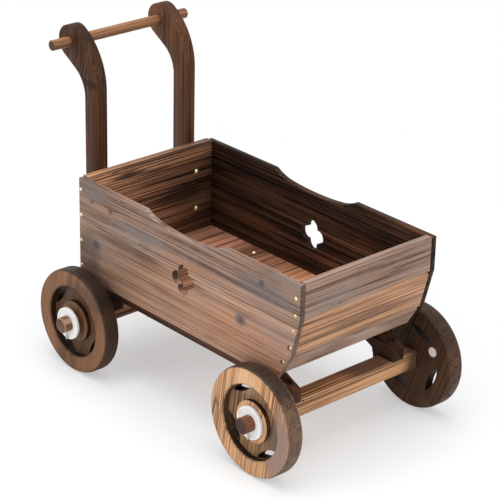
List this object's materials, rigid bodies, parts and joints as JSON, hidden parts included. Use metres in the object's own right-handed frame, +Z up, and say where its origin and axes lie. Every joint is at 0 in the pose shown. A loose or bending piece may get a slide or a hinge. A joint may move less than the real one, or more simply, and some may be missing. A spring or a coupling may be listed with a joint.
{
  "type": "flower cart stand",
  "caption": "Wooden flower cart: a box planter with a raked front on turned wooden wheels, with bent rear posts carrying a round push bar.",
  "frame": {"origin": "on the ground under the centre of the overall bounding box, wheels and handle included", "axes": "+X towards the slanted front, +Y to the cart's left, +Z up; the wheels turn about Y"},
  "size_m": [0.6499, 0.414, 0.5465],
  "materials": {
    "side_wood": "scorched and oiled fir, satin",
    "rim_wood": "scorched and oiled fir, satin",
    "front_wood": "scorched and oiled fir, satin",
    "rear_wood": "scorched and oiled fir, satin",
    "floor_wood": "scorched and oiled fir, satin",
    "post_wood": "scorched and oiled fir, satin",
    "bar_wood": "scorched and oiled fir, satin",
    "chassis_wood": "scorched and oiled fir, satin",
    "beam_wood": "scorched and oiled fir, satin",
    "wheel_wood": "scorched and oiled fir, satin",
    "brass_screw": "bright",
    "zinc_steel": "zinc plated",
    "white_plastic": "moulded, smooth",
    "label_film": "blank label film"
  },
  "bodies": {
    "cart": {"right_side_upper_board": "side_wood", "right_side_lower_board": "side_wood", "left_side_upper_board": "side_wood", "left_side_lower_board": "side_wood", "rear_upper_board": "rear_wood", "rear_lower_board": "rear_wood", "front_upper_board": "front_wood", "front_middle_board": "front_wood", "front_lower_board": "front_wood", "floor_board_1": "floor_wood", "floor_board_2": "floor_wood", "floor_board_3": "floor_wood", "floor_board_4": "floor_wood", "floor_board_5": "floor_wood", "floor_board_6": "floor_wood", "right_floor_rail": "chassis_wood", "right_handle_post": "post_wood", "left_floor_rail": "chassis_wood", "left_handle_post": "post_wood", "handle_bar": "bar_wood", "rear_axle_beam": "beam_wood", "rear_right_arm": "chassis_wood", "rear_right_hub_washer": "white_plastic", "rear_left_arm": "chassis_wood", "rear_left_hub_washer": "white_plastic", "front_axle_beam": "beam_wood", "front_right_arm": "chassis_wood", "front_right_hub_washer": "white_plastic", "front_left_arm": "chassis_wood", "front_left_hub_washer": "white_plastic", "front_screws": "brass_screw", "rear_screws": "brass_screw", "handle_post_bolts": "brass_screw", "floor_bolts": "brass_screw", "handle_post_washers": "zinc_steel", "handle_post_nuts": "zinc_steel", "floor_bolt_nuts": "zinc_steel", "arm_beam_screws": "zinc_steel", "arm_rail_screws": "zinc_steel", "axle_pins": "zinc_steel"},
    "rear_right_wheel": {"rear_right_wheel": "wheel_wood"},
    "rear_left_wheel": {"rear_left_wheel": "wheel_wood"},
    "front_right_wheel": {"front_right_wheel": "wheel_wood"},
    "front_left_wheel": {"front_left_wheel": "wheel_wood", "wheel_label": "label_film"}
  },
  "joints": [
    {"name": "rear_right_wheel_spin", "type": "hinge", "parent": "cart", "child": "rear_right_wheel", "pos_m": [-0.19395, -0.1695, 0.0875], "axis": [0, 1, 0], "continuous": true},
    {"name": "rear_left_wheel_spin", "type": "hinge", "parent": "cart", "child": "rear_left_wheel", "pos_m": [-0.19395, 0.1695, 0.0875], "axis": [0, 1, 0], "continuous": true},
    {"name": "front_right_wheel_spin", "type": "hinge", "parent": "cart", "child": "front_right_wheel", "pos_m": [0.23745, -0.1695, 0.0875], "axis": [0, 1, 0], "continuous": true},
    {"name": "front_left_wheel_spin", "type": "hinge", "parent": "cart", "child": "front_left_wheel", "pos_m": [0.23745, 0.1695, 0.0875], "axis": [0, 1, 0], "continuous": true}
  ]
}
